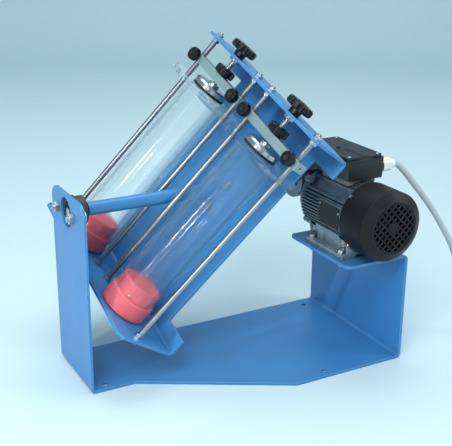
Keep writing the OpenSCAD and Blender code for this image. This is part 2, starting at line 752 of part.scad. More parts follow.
foot_hollow_h = 30;
foot_washer_d = 13;
foot_washer_t = 1.4;
foot_bolt_across = 10;
foot_head_h = 4.5;
foot_nut_h = 5;
foot_bolt_out = 9;
module foot_places() {
    for (sx = [1, -1], j = [0, 1]) translate([mx + sx * foot_a / 2, -foot_y0 - j * foot_b, shelf_h]) children();
}
// Cast foot: pads on the shelf, sloped cheeks and a saddle under the body
module motor_foot() {
    half = foot_a / 2 + 6.5;
    top = mz - core_r * 0.45;
    color(motor_grey) difference() {
        translate([mx, -foot_y0 + foot_margin, 0]) rotate([90, 0, 0]) linear_extrude(foot_b + 2 * foot_margin)
            polygon([[-half, shelf_h], [-half, shelf_h + foot_pad_t], [-half + 9, shelf_h + foot_pad_t + 2],
                [-core_r + 1, top], [core_r - 1, top], [half - 9, shelf_h + foot_pad_t + 2],
                [half, shelf_h + foot_pad_t], [half, shelf_h], [foot_inner + 13, shelf_h],
                [foot_inner + 8, shelf_h + 5], [-foot_inner - 8, shelf_h + 5], [-foot_inner - 13, shelf_h]]);
        // saddle
        along_motor(motor_front - 1) cylinder(r = core_r + fin_h + fit_gap, h = motor_l + 2);
        // room for the fan cover behind the foot
        along_motor(cover_y0 - fit_gap) cylinder(r = cover_r + 3, h = 30);
        // pockets over the pads, open towards the ends
        for (sx = [1, -1], j = [0, 1]) translate([mx + sx * foot_a / 2, -foot_y0 - j * foot_b, shelf_h + foot_pad_t])
            cylinder(r = 7.5, h = 40);
        foot_places() translate([0, 0, -1]) cylinder(d = foot_bolt_d + 2 * fit_gap, h = foot_pad_t + 2);
        // hollow between the cheeks
        translate([mx - foot_hollow_w / 2, -foot_y0 - foot_b + foot_wall, shelf_h - 1])
            cube([foot_hollow_w, foot_b - 2 * foot_wall, foot_hollow_h]);
    }
}
module foot_bolts() {
    color(steel) foot_places() {
        translate([0, 0, foot_pad_t]) cylinder(d = foot_washer_d, h = foot_washer_t);
        translate([0, 0, foot_pad_t + foot_washer_t - eps]) hex_block(foot_head_h, foot_bolt_across);
        translate([0, 0, -sheet_t - foot_bolt_out]) cylinder(d = foot_bolt_d, h = foot_pad_t + sheet_t + foot_bolt_out + 1);
        translate([0, 0, -sheet_t - foot_washer_t - foot_nut_h]) hex_block(foot_nut_h, foot_bolt_across);
        translate([0, 0, -sheet_t - foot_washer_t]) cylinder(d = foot_washer_d, h = foot_washer_t);
    }
}
fan_r = cover_r - 8;
fan_hub_l = 16;
fan_disc_t = 2.5;
fan_blade_l = 15;
fan_blade_t = 2;
module cooling_fan() {
    color("#34393c") along_motor(fan_y) {
        difference() {
            union() {
                cylinder(d = motor_shaft_d + 10, h = fan_hub_l);
                cylinder(r = fan_r - 4, h = fan_disc_t);
                for (a = [0:45:315]) rotate(a) translate([motor_shaft_d / 2 + 2, -fan_blade_t / 2, 0])
                    cube([fan_r - motor_shaft_d / 2 - 2, fan_blade_t, fan_blade_l]);
            }
            translate([0, 0, -1]) cylinder(d = motor_shaft_d + 2 * running_gap, h = fan_hub_l + 2);
        }
    }
}
cover_y0 = body_end - 4;
cover_in = cover_r - cover_wall;
grille_t = 1.6;
// Wire mesh of the grille: two sets of parallel bars set cornerwise
module grille_bars(deep) {
    n = ceil(grille_r / grille_pitch);
    intersection() {
        cylinder(r = grille_r + 1, h = deep);
        for (a = [45, 135]) rotate(a) for (i = [-n:n]) translate([-grille_r - 1, i * grille_pitch - grille_wire / 2, 0])
            cube([2 * grille_r + 2, grille_wire, deep]);
    }
}
cover_screw_d = 5;
cover_screw_z = 4;
spot_deep = 0.3;
module fan_cover() {
    color(black) along_motor(cover_y0) difference() {
      union() {
        rotate_extrude() polygon([[cover_in, 0], [cover_r, 0], [cover_r, cover_l], [grille_r + 1, cover_l + cover_bevel],
            [grille_r - 2.5, cover_l + cover_bevel], [grille_r - 2.5, cover_l + cover_bevel - cover_wall],
            [grille_r + 0.4, cover_l + cover_bevel - cover_wall], [cover_in, cover_l - cover_wall * 0.4]]);
        translate([0, 0, cover_l + cover_bevel - grille_t]) difference() {
            union() {
                intersection() {
                    grille_bars(grille_t);
                    cylinder(r = grille_r - 2, h = grille_t);
                }
                cylinder(r = 7, h = grille_t);
            }
        }
        // tabs that bring the cover onto the body
        for (a = [45:90:315]) rotate(a) translate([core_r + 3 + fit_gap, -4, 0]) cube([cover_in - core_r - 3.1, 8, 3]);
      }
      for (a = [45:90:315]) rotate(a) translate([cover_r - spot_deep, 0, cover_screw_z]) rotate([0, 90, 0])
          cylinder(d = cover_screw_d + 2 * fit_gap, h = 3);
    }
}
module fan_cover_screws() {
    color(steel) along_motor(cover_y0) for (a = [45:90:315]) rotate(a)
        translate([cover_r - spot_deep, 0, cover_screw_z]) rotate([0, 90, 0]) cylinder(d = cover_screw_d, h = spot_deep + 2);
}

// ---------- terminal box ----------
box_y0 = 23;
box_gap = 3;
box_lean = 4;
box_z0 = mz + core_r + fin_h + box_gap;
box_mid_y = box_y0 + box_l / 2;
ped_w = 46;
ped_l = 70;
ped_y = motor_front + motor_l / 2 - 4;
module box_pedestal() {
    color("#8d8a80") difference() {
        translate([mx, -ped_y, mz]) linear_extrude(box_z0 - mz) rounded_rect(ped_w, ped_l, 6);
        along_motor(0) cylinder(r = core_r + fin_h + fit_gap / 2, h = body_end + 20);
        translate([mx - ped_w, -ped_y - ped_l, mz - 1]) cube([2 * ped_w, 2 * ped_l, core_r - 10]);
    }
}
module terminal_box() {
    color(black) difference() {
        union() {
            intersection() {
                translate([mx, -box_mid_y, box_z0]) linear_extrude(box_h) rounded_rect(box_w, box_l, 5);
                translate([mx, -box_mid_y - box_l / 2 - 1, box_z0]) rotate([90, 0, 180]) linear_extrude(box_l + 2)
                    polygon([[-box_w / 2 + box_lean, 0], [box_w / 2 - box_lean, 0], [box_w / 2, box_h - 4],
                        [box_w / 2, box_h], [-box_w / 2, box_h], [-box_w / 2, box_h - 4]]);
            }
            gland_at() translate([0, 0, -box_lean - 1]) cylinder(d = gland_d - 1, h = box_lean + 1);
        }
        translate([mx, -box_mid_y, box_z0 + box_wall]) linear_extrude(box_h)
            rounded_rect(box_w - 2 * box_wall - 2 * box_lean, box_l - 2 * box_wall, 3);
        gland_at() translate([0, 0, -box_wall - box_lean - 2]) cylinder(d = gland_thread_d + 2 * running_gap, h = box_wall + box_lean + 4);
        // level with the underside of the lid
        translate([mx - box_w, -box_mid_y - box_l, box_z0 + box_h]) cube([2 * box_w, 2 * box_l, gland_d]);
    }
}
lid_z0 = box_z0 + box_h;
module terminal_lid() {
    color(black) difference() {
        union() {
            translate([mx, -box_mid_y, lid_z0]) linear_extrude(box_lid_h - 4) rounded_rect(box_w, box_l, 5);
            translate([mx, -box_mid_y, lid_z0 + box_lid_h - 4 - eps]) linear_extrude(4 + eps)
                rounded_rect(box_w - 5, box_l - 5, 5);
            // round housing of the starting capacitor's end
            intersection() {
                translate([mx, -box_y0 - box_l + 0.5, lid_z0]) rotate([-90, 0, 0]) cylinder(r = 12, h = box_l * 0.4);
                translate([mx - 20, -box_y0 - box_l, lid_z0]) cube([40, box_l, 40]);
            }
            translate([mx - 6, -box_y0 - 56, lid_z0 + box_lid_h - eps]) cylinder(d = 6, h = 1.8);
        }
        translate([mx, -box_mid_y, lid_z0 - 1]) linear_extrude(box_lid_h - box_wall)
            rounded_rect(box_w - 2 * box_wall, box_l - 2 * box_wall, 3);
    }
}
module lid_screws() {
    color(steel) for (sx = [1, -1], sy = [1, -1])
        translate([mx + sx * (box_w / 2 - 8), -box_mid_y + sy * (box_l / 2 - 8), lid_z0 + box_lid_h])
            cylinder(d = 5, h = 1.5);
}
gland_thread_d = 14;
gland_d = 20;
gland_inset = 10;
gland_up = 3;
gland_nut_l = 14;
module gland_at() {
    translate([mx + box_w / 2, -box_y0 - box_l + gland_inset, box_z0 + box_h / 2 + gland_up]) rotate([0, 90, 0]) children();
}
gland_l = 8;
module gland_body() {
    color("#e8e8e4") gland_at() difference() {
        union() {
            cylinder(d = gland_d, h = gland_l, $fn = 6);
            translate([0, 0, -box_wall - box_lean - 2]) cylinder(d = gland_thread_d, h = box_wall + box_lean + 2 + eps);
        }
        translate([0, 0, -box_wall - box_lean - 3]) cylinder(d = cord_d + 2 * fit_gap, h = box_wall + box_lean + 5 + gland_l);
    }
}
module gland_nut() {
    hex = gland_d * 0.86;
    color("#e8e8e4") gland_at() translate([0, 0, gland_l]) difference() {
        union() {
            hex_block(gland_nut_l * 0.55, hex);
            rotate_extrude() polygon([[0, 0], [hex / 2, 0], [hex / 2, gland_nut_l * 0.55], [hex / 2 - 1.5,
                gland_nut_l * 0.8], [cord_d / 2 + 2, gland_nut_l], [0, gland_nut_l]]);
        }
        translate([0, 0, -1]) cylinder(r = cord_d / 2 + fit_gap, h = gland_nut_l + 2);
    }
}

// ---------- mains lead ----------
lead_points = [
    [193, -128, 284.5], [223, -128, 284.5], [232, -128, 280], [241, -128, 271.5], [250, -128.5, 262], [260, -129, 250.5],
    [278, -131, 229.5], [296, -134, 206], [313, -138, 180], [328, -142, 154], [340, -146, 126], [348, -150, 97],
    [354, -154, 69], [360, -158, 43], [368, -162, 23], [380, -165, 9.5], [394, -167, 5], [404, -167, 5]
];
lead_sides = 10;
function unit(v) = v / norm(v);
function lead_dir(i) = unit(lead_points[min(i + 1, len(lead_points) - 1)] - lead_points[max(i - 1, 0)]);
function lead_side(i) = unit(cross(lead_dir(i), [0, 1, 0.2]));
function lead_up(i) = cross(lead_side(i), lead_dir(i));
lead_rings = [for (i = [0:len(lead_points) - 1], k = [0:lead_sides - 1])
    let (a = 360 / lead_sides * k)
    lead_points[i] + cord_d / 2 * (cos(a) * lead_side(i) + sin(a) * lead_up(i))];
module mains_lead() {
    n = len(lead_points);
    m = lead_sides;
    color("#b5bdc0") polyhedron(points = lead_rings, faces = concat(
        [[for (k = [m - 1:-1:0]) k]],
        [for (i = [0:n - 2], k = [0:m - 1]) [i * m + k, i * m + (k + 1) % m, (i + 1) * m + (k + 1) % m, (i + 1) * m + k]],
        [[for (k = [0:m - 1]) (n - 1) * m + k]]), convexity = 4);
}
coil_r = 50;
coil_x = 404;
coil_y = -167 - coil_r - cord_d;
coil_wide = 3;
coil_high = 2;
module lead_coil() {
    w = coil_wide * cord_d;
    h = coil_high * cord_d;
    color("#b5bdc0") translate([coil_x, coil_y, 0]) rotate_extrude()
        translate([coil_r - w / 2, 0]) square([w, h]);
}
plug_body_r = 18;
plug_body_l = 34;
plug_tail = 26;
plug_off = 36.5;
pin_d = 4.8;
pin_l = 19;
pin_pitch = 19;
// Moulded two-pin plug that lies beside the coil
module mains_plug() {
    color(black) translate([coil_x + coil_r + cord_d, coil_y - plug_tail - plug_off, plug_body_r])
        rotate([90, 0, 0]) {
            rotate_extrude() polygon([[0, -plug_tail], [cord_d / 2 + 1.5, -plug_tail], [cord_d / 2 + 3, 0], [plug_body_r - 3, 6],
                [plug_body_r, 10], [plug_body_r, plug_body_l - 1], [plug_body_r - 1, plug_body_l], [0, plug_body_l]]);
            for (s = [1, -1]) translate([0, s * pin_pitch / 2, plug_body_l - eps]) {
                cylinder(d = pin_d, h = pin_l - 1);
                translate([0, 0, pin_l - 1]) cylinder(d1 = pin_d, d2 = pin_d - 1.6, h = 1);
            }
        }
}

base_frame();
bearing_housing();
bearing_outer_ring();
bearing_balls();
bearing_inner_ring();
bearing_bolts();
shaft_collar();
journal();
shaft_tube();
carrier_frame();
drive_hub();
hub_screws();
guide_rods();
rod_nuts();
spindle_bushes();
glass_tube(1);  // glass_tube_1
glass_tube(-1);  // glass_tube_2
stopper(1);  // stopper_1
stopper(-1);  // stopper_2
guide_plate(1);  // guide_plate_1
guide_plate(-1);  // guide_plate_2
clamp_bar(1);  // clamp_bar_1
clamp_bar(-1);  // clamp_bar_2
lock_knob(1);  // lock_knob_1
lock_knob(-1);  // lock_knob_2
thumb_screw(rod_outer);  // thumb_screw_1
thumb_screw(rod_inner);  // thumb_screw_2
thumb_screw(-rod_inner);  // thumb_screw_3
thumb_screw(-rod_outer);  // thumb_screw_4
lid(1);  // lid_1
lid(-1);  // lid_2
lid_seal(1);  // lid_seal_1
lid_seal(-1);  // lid_seal_2
spindle(1);  // spindle_1
spindle(-1);  // spindle_2
star_knob(1);  // star_knob_1
star_knob(-1);  // star_knob_2
gearbox_housing();
gearbox_cover();
gearbox_screws();
worm_wheel();
worm_shaft();
motor_shield();
motor_body();
stator();
rotor_core();
motor_foot();
foot_bolts();
cooling_fan();
fan_cover();
fan_cover_screws();
box_pedestal();
terminal_box();
terminal_lid();
lid_screws();
gland_body();
gland_nut();
mains_lead();
lead_coil();
mains_plug();
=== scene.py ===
import math
import bpy
import bmesh
from mathutils import Vector, Matrix


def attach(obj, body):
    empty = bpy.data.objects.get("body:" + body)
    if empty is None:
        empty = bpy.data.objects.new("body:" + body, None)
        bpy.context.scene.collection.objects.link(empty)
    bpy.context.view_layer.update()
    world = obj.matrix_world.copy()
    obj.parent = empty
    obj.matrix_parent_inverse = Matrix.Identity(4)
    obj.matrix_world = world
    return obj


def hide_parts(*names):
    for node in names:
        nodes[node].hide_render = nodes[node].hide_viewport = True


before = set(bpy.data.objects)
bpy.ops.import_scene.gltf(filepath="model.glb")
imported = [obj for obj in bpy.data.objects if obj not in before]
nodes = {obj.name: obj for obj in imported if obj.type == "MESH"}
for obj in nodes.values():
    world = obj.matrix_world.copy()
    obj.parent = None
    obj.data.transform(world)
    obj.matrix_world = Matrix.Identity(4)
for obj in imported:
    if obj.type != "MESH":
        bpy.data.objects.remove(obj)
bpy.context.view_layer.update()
MM = 0.001

# ---------------------------------------------------------------- camera
CAM_PLACE = (-0.5831, -1.1102, 0.6400)
CAM_YAW, CAM_PITCH, CAM_ROLL = math.radians(28.7), math.radians(-20.0), math.radians(0.5)
CAM_FOCAL = 914.4                   # in pixels of the rendered picture
IMAGE_W = 452
SENSOR_W = 36
CENTRE_OFF_X, CENTRE_OFF_Y = 226 - 227.0, 227.1 - 223


def set_camera():
    """Camera at its solved place; the optical centre lies slightly off the picture's middle."""
    d = Vector((math.sin(CAM_YAW) * math.cos(CAM_PITCH), math.cos(CAM_YAW) * math.cos(CAM_PITCH),
                math.sin(CAM_PITCH)))
    r = Vector((d.y, -d.x, 0)).normalized()
    u = r.cross(d)
    r2 = r * math.cos(CAM_ROLL) + u * math.sin(CAM_ROLL)
    u2 = u * math.cos(CAM_ROLL) - r * math.sin(CAM_ROLL)
    cam = bpy.data.cameras.new("camera")
    ob = bpy.data.objects.new("camera", cam)
    bpy.context.scene.collection.objects.link(ob)
    m = Matrix((r2, u2, -d)).transposed().to_4x4()
    m.translation = Vector(CAM_PLACE)
    ob.matrix_world = m
    cam.sensor_fit = "HORIZONTAL"
    cam.sensor_width = SENSOR_W
    cam.lens = CAM_FOCAL / IMAGE_W * SENSOR_W
    cam.shift_x = CENTRE_OFF_X / IMAGE_W
    cam.shift_y = CENTRE_OFF_Y / IMAGE_W
    cam.clip_start = 0.05
    cam.clip_end = 30
    bpy.context.scene.camera = ob


set_camera()

# ---------------------------------------------------------------- carrier's own axes
# T runs up the tubes, P across them, N out of the back plate; offsets n, p, t are in millimetres.
TILT, ROLL = math.radians(36), math.radians(19.5)
AXIS_Z = 0.241
CARRIER_X = -0.072
O = Vector((CARRIER_X, 0, AXIS_Z))
T = Vector((math.sin(TILT), -math.cos(TILT) * math.sin(ROLL), math.cos(TILT) * math.cos(ROLL)))
P = Vector((0, math.cos(ROLL), math.sin(ROLL)))
N = Vector((math.cos(TILT), math.sin(TILT) * math.sin(ROLL), -math.sin(TILT) * math.cos(ROLL)))
TUBE_MID = 78
SIDES = ((1, 1), (2, -1))           # number in a piece's name, and its side of the carrier's middle


def at(n, p, t):
    return O + (N * n + P * p + T * t) * MM


# ---------------------------------------------------------------- colour and material helpers
def lin(h):
    """Linear colour of a hexadecimal sRGB one."""
    h = h.lstrip("#")
    out = []
    for i in (0, 2, 4):
        c = int(h[i:i + 2], 16) / 255
        out.append(c / 12.92 if c <= 0.04045 else ((c + 0.055) / 1.055) ** 2.4)
    return out + [1.0]


def node(nt, kind, **kw):
    """New shader node; keywords set its inputs, and those with a leading underscore its properties."""
    n = nt.nodes.new(kind)
    for k, v in kw.items():
        if k.startswith("_"):
            setattr(n, k[1:], v)
        else:
            n.inputs[k.replace("_", " ")].default_value = v
    return n


def new_material(name):
    m = bpy.data.materials.new(name)
    m.use_nodes = True
    MATS[name] = m
    return m.node_tree, m.node_tree.nodes["Principled BSDF"]


def map_range(nt, source, from_min, from_max, to_min=0.0, to_max=1.0):
    mr = node(nt, "ShaderNodeMapRange", From_Min=from_min, From_Max=from_max, To_Min=to_min, To_Max=to_max)
    nt.links.new(source, mr.inputs["Value"])
    return mr.outputs["Result"]


def mix_colour(nt, factor, colour, other):
    """Colour socket mixed towards the constant other by a factor socket."""
    mx = node(nt, "ShaderNodeMix", _data_type="RGBA")
    nt.links.new(factor, mx.inputs[0])
    nt.links.new(colour, mx.inputs[6])
    mx.inputs[7].default_value = other
    return mx.outputs[2]


MATS = {}
GRAIN_DEPTH = 0.0004
# reach and darkness of the painted shade in hollows and corners
SHADE_REACH = 0.012
SHADE_DARKNESS = 0.25
COAT_ROUGH = 0.06


def mat(name, base, rough=0.4, metal=0.0, var=0.08, vscale=30, bump=0.0, bscale=600, stretch=None,
        rvar=0.06, edge_highlight=None, edge_r=0.0008, spec=0.5, crevice_shade=0.0):
    """A procedural material: mottled colour, uneven roughness, grain bump, rounded edges painted lighter as a painted
    highlight, and painted shade darkening the hollows.
    """
    nt, b = new_material(name)
    L = nt.links.new
    b.inputs["Metallic"].default_value = metal
    b.inputs["Specular IOR Level"].default_value = spec
    tc = node(nt, "ShaderNodeTexCoord")
    src = tc.outputs["Object"]
    fine = src
    if stretch:
        turn, scale = stretch
        mp = node(nt, "ShaderNodeMapping", Rotation=turn, Scale=scale)
        L(src, mp.inputs["Vector"])
        fine = mp.outputs["Vector"]
    mottle = node(nt, "ShaderNodeTexNoise", Scale=vscale, Detail=4.0, Roughness=0.6)
    L(src, mottle.inputs["Vector"])
    c = lin(base)[:3]
    ramp = node(nt, "ShaderNodeValToRGB")
    dark, light = ramp.color_ramp.elements
    dark.position, light.position = 0.3, 0.7
    dark.color = [max(0, x * (1 - var)) for x in c] + [1]
    light.color = [min(1, x * (1 + var)) for x in c] + [1]
    L(mottle.outputs["Fac"], ramp.inputs["Fac"])
    col = ramp.outputs["Color"]
    grain = node(nt, "ShaderNodeTexNoise", Scale=bscale, Detail=3.0)
    L(fine, grain.inputs["Vector"])
    uneven = (grain if stretch else mottle).outputs["Fac"]
    L(map_range(nt, uneven, 0.3, 0.7, max(0.02, rough - rvar), min(1, rough + rvar)), b.inputs["Roughness"])
    bev = node(nt, "ShaderNodeBevel", Radius=edge_r, _samples=4)
    nrm = bev.outputs["Normal"]
    # painted highlight: the colour turns towards the given edge colour where the rounded bevel normal bends away from
    # the face, along every edge
    if edge_highlight:
        geo = node(nt, "ShaderNodeNewGeometry")
        dot = node(nt, "ShaderNodeVectorMath", _operation="DOT_PRODUCT")
        L(nrm, dot.inputs[0])
        L(geo.outputs["Normal"], dot.inputs[1])
        col = mix_colour(nt, map_range(nt, dot.outputs["Value"], 0.985, 0.80), col, lin(edge_highlight))
    # painted shade: the colour darkens where ambient occlusion finds nearby surfaces, in hollows, corners and gaps
    # between parts
    if crevice_shade:
        ao = node(nt, "ShaderNodeAmbientOcclusion", Distance=SHADE_REACH, _samples=6)
        shade_mask = map_range(nt, ao.outputs["AO"], 0.35, 0.9, crevice_shade, 0.0)
        col = mix_colour(nt, shade_mask, col, [x * SHADE_DARKNESS for x in c] + [1])
    L(col, b.inputs["Base Color"])
    if bump:
        bp = node(nt, "ShaderNodeBump", Strength=bump, Distance=GRAIN_DEPTH)
        L(grain.outputs["Fac"], bp.inputs["Height"])
        L(nrm, bp.inputs["Normal"])
        nrm = bp.outputs["Normal"]
    L(nrm, b.inputs["Normal"])


def glass(name, tint, rough, ior, clear, coat=0.0):
    """Thin clear wall: part glass, part straight-through, so that what lies behind stays crisp."""
    b = new_material(name)[1]
    for socket, value in (("Base Color", lin(tint)), ("Roughness", rough), ("IOR", ior), ("Transmission Weight", 1.0),
                          ("Alpha", 1 - clear), ("Coat Weight", coat), ("Coat Roughness", COAT_ROUGH)):
        b.inputs[socket].default_value = value


mat("blue_paint", "#3c7fb8", rough=0.36, var=0.05, vscale=22, bump=0.12, bscale=700,
    edge_highlight="#72afd8", edge_r=0.0012, crevice_shade=0.25)
mat("motor_paint", "#4d5e68", rough=0.3, metal=0.25, var=0.12, vscale=60, bump=0.25, bscale=420,
    edge_highlight="#8fa2ab", crevice_shade=0.6)
mat("black_paint", "#0b0d0f", rough=0.5, var=0.15, vscale=40, bump=0.10, bscale=650,
    edge_highlight="#272d31", edge_r=0.001, spec=0.3)
mat("cast_housing", "#2b363d", rough=0.45, var=0.15, vscale=70, bump=0.5, bscale=260,
    edge_highlight="#5b6a72", crevice_shade=0.5)
mat("stainless", "#b4babd", rough=0.24, metal=1.0, var=0.04, vscale=18, bump=0.012, bscale=500, rvar=0.03,
    stretch=((0, TILT, 0), (1, 1, 0.02)))
mat("rod_steel", "#989ea1", rough=0.34, metal=1.0, var=0.04, vscale=18, bump=0.01, bscale=500, rvar=0.03)
mat("turned_steel", "#c3c7ca", rough=0.22, metal=1.0, var=0.05, vscale=25, bump=0.05, bscale=900, rvar=0.05)
mat("zinc", "#b9bfc2", rough=0.34, metal=1.0, var=0.10, vscale=90, bump=0.10, bscale=900)
mat("bar_alloy", "#86a2a4", rough=0.42, metal=0.35, var=0.05, vscale=35, bump=0.10, bscale=800, edge_highlight="#c4d6d6")
mat("hub_alloy", "#9aa2a6", rough=0.35, metal=0.9, var=0.06, vscale=40, bump=0.06, bscale=900)
mat("knob_black", "#0c0d0e", rough=0.33, var=0.10, vscale=60, bump=0.10, bscale=1100,
    edge_highlight="#2e3133", edge_r=0.001, spec=0.4)
mat("box_black", "#14181a", rough=0.42, var=0.10, vscale=45, bump=0.30, bscale=1400,
    edge_highlight="#40474b", edge_r=0.001)
mat("pedestal_beige", "#8f8574", rough=0.6, var=0.10, vscale=70, bump=0.3, bscale=500, crevice_shade=0.5)
mat("gland_white", "#e9eae6", rough=0.38, var=0.03, vscale=40, bump=0.05, bscale=900)
mat("fan_grey", "#2a2f32", rough=0.5, var=0.08, vscale=40, bump=0.1, bscale=900)
mat("red_rubber", "#de636b", rough=0.5, var=0.07, vscale=50, bump=0.14, bscale=700, edge_highlight="#ea8a90")
mat("black_rubber", "#101112", rough=0.62, var=0.10, vscale=60, bump=0.2, bscale=900)
mat("bronze", "#a97c3c", rough=0.34, metal=1.0, var=0.08, vscale=60, bump=0.08, bscale=700)
mat("copper_varnish", "#8a5a2c", rough=0.4, var=0.15, vscale=200, bump=0.3, bscale=900)
mat("lamination", "#5d6265", rough=0.5, metal=0.8, var=0.1, vscale=50, bump=0.2, bscale=900)
mat("lead_grey", "#aeb9bd", rough=0.45, var=0.04, vscale=30, bump=0.08, bscale=1400)
mat("plate_dark", "#06080a", rough=0.5, var=0.2, vscale=160, bump=0.15, bscale=500,
    edge_highlight="#8e989c", edge_r=0.0012)
mat("shield_grey", "#6c7c85", rough=0.28, metal=0.35, var=0.12, vscale=70, bump=0.3, bscale=380,
    edge_highlight="#a9b6bb", crevice_shade=0.5)
mat("foot_grey", "#87939a", rough=0.26, metal=0.45, var=0.14, vscale=60, bump=0.3, bscale=300,
    edge_highlight="#c4cdd1", crevice_shade=0.5)
glass("tube_glass", "#f8fcfd", rough=0.0, ior=1.25, clear=0.64, coat=0.8)
glass("acrylic", "#e4f3f5", rough=0.02, ior=1.42, clear=0.55)

NODE_MAT = {
    "blue_paint": ["base_frame", "carrier_frame", "shaft_tube"],
    "motor_paint": ["motor_body"],
    "shield_grey": ["gearbox_housing", "gearbox_cover", "motor_shield"],
    "foot_grey": ["motor_foot"],
    "black_paint": ["fan_cover"],
    "cast_housing": ["bearing_housing"],
    "stainless": ["guide_rods", "rod_nuts", "spindle_bushes", "lid_1", "lid_2", "spindle_1", "spindle_2"],
    "turned_steel": ["bearing_outer_ring", "bearing_inner_ring", "bearing_balls", "journal", "worm_shaft"],
    "zinc": ["bearing_bolts", "hub_screws", "gearbox_screws", "foot_bolts", "fan_cover_screws", "lid_screws"],
    "bar_alloy": ["clamp_bar_1", "clamp_bar_2"],
    "hub_alloy": ["drive_hub"],
    "knob_black": ["lock_knob_1", "lock_knob_2", "thumb_screw_1", "thumb_screw_2", "thumb_screw_3",
                   "thumb_screw_4", "star_knob_1", "star_knob_2", "mains_plug"],
    "box_black": ["terminal_box", "terminal_lid"],
    "pedestal_beige": ["box_pedestal"],
    "gland_white": ["gland_body", "gland_nut"],
    "fan_grey": ["cooling_fan"],
    "red_rubber": ["stopper_1", "stopper_2"],
    "black_rubber": ["lid_seal_1", "lid_seal_2", "shaft_collar"],
    "bronze": ["worm_wheel"],
    "copper_varnish": ["stator"],
    "lamination": ["rotor_core"],
    "tube_glass": ["glass_tube_1", "glass_tube_2"],
    "acrylic": ["guide_plate_1", "guide_plate_2"],
    "lead_grey": ["mains_lead", "lead_coil"],
}
for mat_name, node_names in NODE_MAT.items():
    for node_name in node_names:
        ob = nodes[node_name]
        if not ob.material_slots:
            ob.data.materials.append(MATS[mat_name])
        for s in ob.material_slots:
            s.material = MATS[mat_name]


# ---------------------------------------------------------------- mesh helpers
def new_obj(name, bm, material, body, smooth=30):
    """Object made from a bmesh, shaded smooth below the given angle, and riding on a body."""
    me = bpy.data.meshes.new(name)
    bm.normal_update()
    bm.to_mesh(me)
    bm.free()
    ob = bpy.data.objects.new(name, me)
    bpy.context.scene.collection.objects.link(ob)
    me.materials.append(MATS[material])
    for p in me.polygons:
        p.use_smooth = True
    me.set_sharp_from_angle(angle=math.radians(smooth))
    if body:
        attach(ob, body)
    return ob


def join(bm, other):
    """Adds another bmesh to this one."""
    me = bpy.data.meshes.new("tmp")
    other.to_mesh(me)
    other.free()
    bm.from_mesh(me)
    bpy.data.meshes.remove(me)


def basis(z, x=None):
    """Matrix whose third axis is z, and whose first axis lies near x."""
    z = Vector(z).normalized()
    x = Vector(x) if x is not None else (Vector((1, 0, 0)) if abs(z.x) < 0.9 else Vector((0, 1, 0)))
    x = (x - z * x.dot(z)).normalized()
    return Matrix((x, z.cross(x), z)).transposed()


def place(bm, origin, z, x=None):
    """Moves a bmesh so that its local Z axis points along z from origin."""
    m = basis(z, x).to_4x4()
    m.translation = Vector(origin)
    bmesh.ops.transform(bm, matrix=m, verts=bm.verts)


def cube(size):
    """New bmesh with a block of the given size, in millimetres, about the origin."""
    bm = bmesh.new()
    bmesh.ops.create_cube(bm, size=1.0)
    bmesh.ops.scale(bm, vec=[v * MM for v in size], verts=bm.verts)
    return bm


def shift(bm, by):
    bmesh.ops.translate(bm, vec=by, verts=bm.verts)


def lathe(bm, profile, seg=48, closed=False):
    """Turns a profile of (radius, height) pairs, in millimetres, about the local Z axis."""
    rings = []
    for r, h in profile:
        if r < 1e-6:
            rings.append([bm.verts.new((0, 0, h * MM))])
        else:
            rings.append([bm.verts.new((r * MM * math.cos(2 * math.pi * i / seg),
                                        r * MM * math.sin(2 * math.pi * i / seg), h * MM)) for i in range(seg)])
    pairs = list(zip(rings, rings[1:])) + ([(rings[-1], rings[0])] if closed else [])
    for a, b in pairs:
        for i in range(seg):
            j = (i + 1) % seg
            if len(a) == 1 and len(b) == 1:
                continue
            if len(a) == 1:
                bm.faces.new((a[0], b[j], b[i]))
            elif len(b) == 1:
                bm.faces.new((a[i], a[j], b[0]))
            else:
                bm.faces.new((a[i], a[j], b[j], b[i]))
    bmesh.ops.recalc_face_normals(bm, faces=bm.faces)


def thread(bm, r, length, pitch, depth, seg):
    """A closed threaded rod along local Z, from 0 to length, in millimetres."""
    flank = ((0.0, -depth), (0.35, 0.0), (0.65, 0.0), (1.0, -depth))
    strips = []
    for k in range(int(length / pitch * seg) + 1):
        a = 2 * math.pi * k / seg
        z0 = k / seg * pitch - pitch
        row = []
        for f, dr in flank:
            z = min(max(z0 + f * pitch, 0), length)
            row.append(bm.verts.new(((r + dr) * MM * math.cos(a), (r + dr) * MM * math.sin(a), z * MM)))
        strips.append(row)
    for a, b in zip(strips, strips[1:]):
        for i in range(len(flank) - 1):
            bm.faces.new((a[i], b[i], b[i + 1], a[i + 1]))
    lathe(bm, [(0, 0), (r - depth, 0), (r - depth, length), (0, length)], seg)


def round_corners(x0, x1, y0, y1, r, steps=6):
    """Points (x, y) and outward direction (dx, dy) round a rectangle with rounded corners."""
    out = []
    for cx, cy, a0 in ((x1 - r, y1 - r, 0), (x0 + r, y1 - r, 90), (x0 + r, y0 + r, 180), (x1 - r, y0 + r, 270)):
        for k in range(steps + 1):
            a = math.radians(a0 + 90 * k / steps)
            out.append((cx + r * math.cos(a), cy + r * math.sin(a), math.cos(a), math.sin(a)))
    return out


# ---------------------------------------------------------------- threads and rods
ROD_P = (138, 18, -18, -138)
ROD_TOP, ROD_LOW = 207, -151        # outer faces of the two flanges
ROD_R = 4.0
STUD_R, STUD_OUT = 2.9, 7.9         # stud radius, and how far it stands past the flange
FLANGE_T, NUT_H = 4, 5.0
STUD_THREAD = 12.5                  # threaded length, from 1 mm inside the stud's end
SPINDLE_LOW, SPINDLE_LENGTH = 157.5, 65.7
SPINDLE_R, SPINDLE_PITCH, SPINDLE_DEPTH = 3.97, 1.25, 0.62


